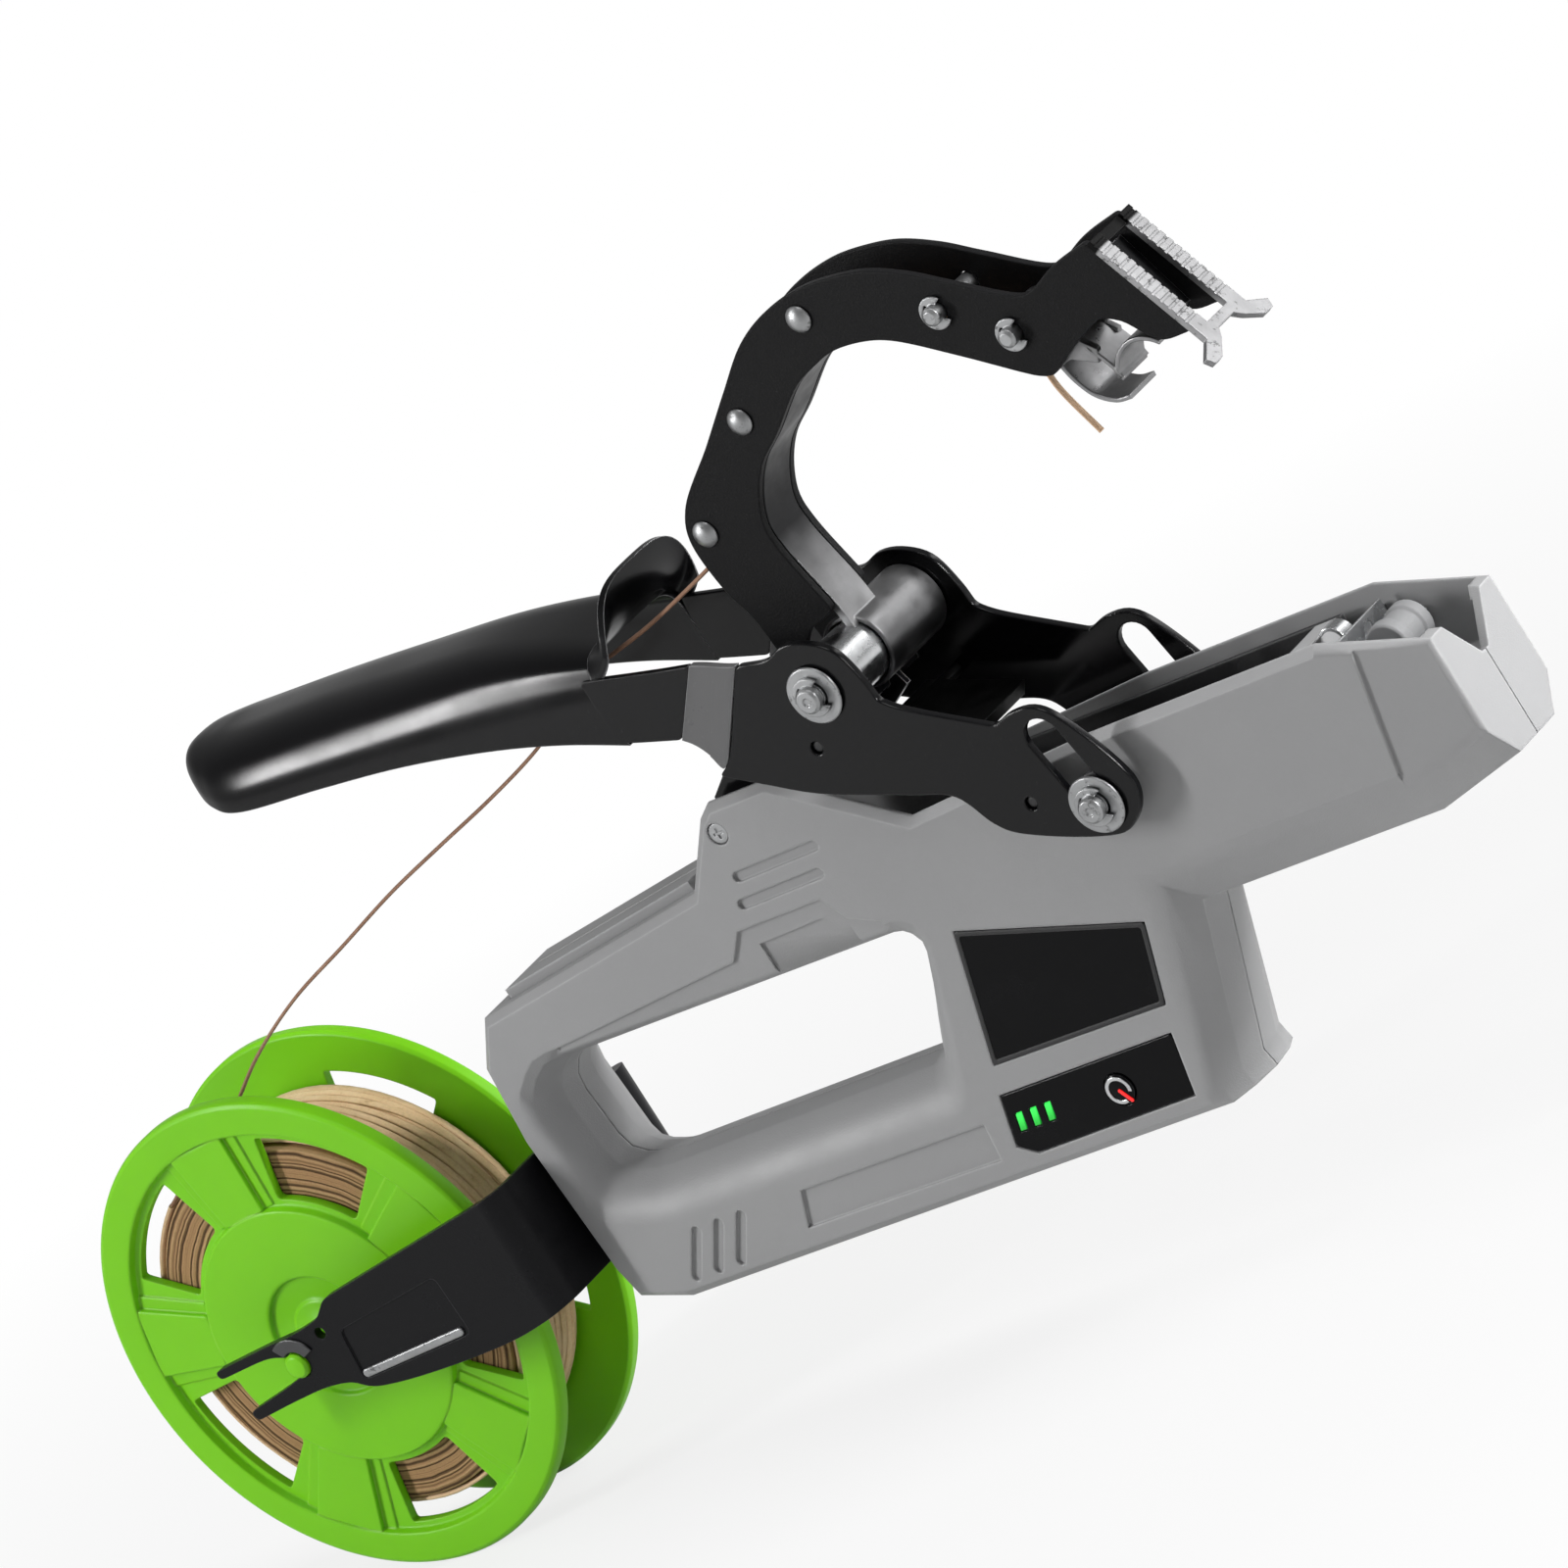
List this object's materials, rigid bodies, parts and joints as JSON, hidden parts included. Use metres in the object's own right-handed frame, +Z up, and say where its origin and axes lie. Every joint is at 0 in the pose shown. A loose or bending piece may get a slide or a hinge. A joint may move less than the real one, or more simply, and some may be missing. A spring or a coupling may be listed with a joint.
{
  "type": "vine tying tool",
  "caption": "Battery tying tool: a squeezed lever swings a hooked arm over the nose, where tape is stapled and cut round a stem; a reel behind feeds the tape.",
  "frame": {"origin": "middle of the upper grip bar, on the mid-plane", "axes": "+X forward along the body to the nose, +Y to the left side, +Z up"},
  "size_m": [0.4532, 0.066, 0.245],
  "materials": {
    "grey_shell": "fine texture",
    "black_gloss": "polished",
    "dark_plastic": "satin",
    "black_paint": "gloss coat",
    "black_texture": "fine textured coat",
    "satin_web": "satin",
    "zinc": "zinc plate",
    "bright_steel": "bright",
    "lime_plastic": "semi-gloss",
    "kraft_tape": "paper",
    "green_lamp": "lit lens",
    "board_green": "solder mask",
    "battery_sleeve": "shrink sleeve"
  },
  "bodies": {
    "housing": {"shell_right": "grey_shell", "shell_left": "grey_shell", "screen_window": "black_gloss", "control_panel": "black_gloss", "charge_lamps": "green_lamp", "circuit_board": "board_green", "battery_cell_rear": "battery_sleeve", "battery_cell_front": "battery_sleeve", "drive_motor": "zinc", "gearbox_case": "dark_plastic", "staple_magazine": "black_texture", "staple_strip": "zinc", "pusher_rod": "bright_steel", "magazine_gate": "grey_shell", "cutter_plate": "dark_plastic", "cutter_blade": "bright_steel", "feed_hook": "zinc", "roller_pin": "bright_steel", "trigger_switch": "dark_plastic", "shell_screw": "zinc", "fulcrum_pin_right": "bright_steel", "fulcrum_pin_left": "bright_steel", "fulcrum_spacer_right": "dark_plastic", "fulcrum_spacer_left": "dark_plastic", "fulcrum_washer_right": "zinc", "fulcrum_washer_left": "zinc", "reel_bracket": "black_paint", "bracket_screw_1": "zinc", "bracket_screw_2": "zinc", "tape_to_lever": "kraft_tape"},
    "lever": {"lever_sheet": "black_paint", "lever_tongue": "black_paint", "laminated_core": "satin_web", "arm_pivot_pin": "bright_steel", "pivot_washer_right": "zinc", "pivot_washer_left": "zinc", "arm_bush": "bright_steel", "tape_to_arm": "kraft_tape"},
    "arm": {"arm_plate_right": "black_texture", "arm_plate_left": "black_texture", "arm_web": "satin_web", "arm_rivet_1": "zinc", "arm_rivet_2": "zinc", "arm_rivet_3": "zinc", "tip_pin_1": "zinc", "tip_pin_2": "zinc", "tip_fork": "zinc", "tip_block": "black_texture", "tape_in_arm": "kraft_tape"},
    "holder": {"tape_holder": "bright_steel"},
    "reel": {"reel_flange_right": "lime_plastic", "reel_flange_left": "lime_plastic", "tape_roll": "kraft_tape", "tape_winding": "kraft_tape"},
    "button": {"power_button": "black_gloss"},
    "paddle": {"trigger_paddle": "grey_shell"},
    "roller": {"nose_roller": "dark_plastic"},
    "driver": {"staple_driver": "bright_steel"},
    "pinion": {"drive_pinion": "bright_steel"},
    "pusher": {"staple_pusher": "dark_plastic"}
  },
  "joints": [
    {"name": "lever_pivot", "type": "hinge", "parent": "housing", "child": "lever", "pos_m": [0.1472, 0, 0.0008], "axis": [0, -1, 0], "range_deg": [0, 13], "stiffness_Nm_per_rad": 1.5, "deforming": ["tape_to_lever"]},
    {"name": "arm_pivot", "type": "hinge", "parent": "lever", "child": "arm", "pos_m": [0.095, 0, 0.047], "axis": [0, 1, 0], "range_deg": [0, 35.5], "deforming": ["tape_to_arm"]},
    {"name": "holder_spring", "type": "hinge", "parent": "arm", "child": "holder", "pos_m": [0.184, 0, 0.0999], "axis": [0, -1, 0], "range_deg": [0, 5], "stiffness_Nm_per_rad": 0.2},
    {"name": "reel_spin", "type": "hinge", "parent": "housing", "child": "reel", "pos_m": [-0.1478, 0, -0.054], "axis": [0, 1, 0], "continuous": true},
    {"name": "button_press", "type": "slide", "parent": "housing", "child": "button", "axis": [0, 1, 0], "range_m": [0, 0.0008], "stiffness_N_per_m": 800},
    {"name": "paddle_press", "type": "slide", "parent": "housing", "child": "paddle", "axis": [0.1212, 0, -0.9926], "range_m": [0, 0.0022], "stiffness_N_per_m": 1000},
    {"name": "roller_spin", "type": "hinge", "parent": "housing", "child": "roller", "pos_m": [0.2225, 0, 0.004], "axis": [0, 1, 0], "continuous": true},
    {"name": "driver_stroke", "type": "slide", "parent": "housing", "child": "driver", "axis": [0, 0, 1], "range_m": [0, 0.007]},
    {"name": "pinion_turn", "type": "hinge", "parent": "housing", "child": "pinion", "pos_m": [0.2029, 0, -0.01916], "axis": [0, -1, 0], "range_deg": [0, 67]},
    {"name": "pusher_feed", "type": "slide", "parent": "housing", "child": "pusher", "axis": [1, 0, 0], "range_m": [-0.04, 0]}
  ],
  "couplings": [
    {"joint": "arm_pivot", "follows": "lever_pivot", "ratio": 2.73},
    {"joint": "pinion_turn", "follows": "driver_stroke", "rad_per_m": 166.67}
  ]
}
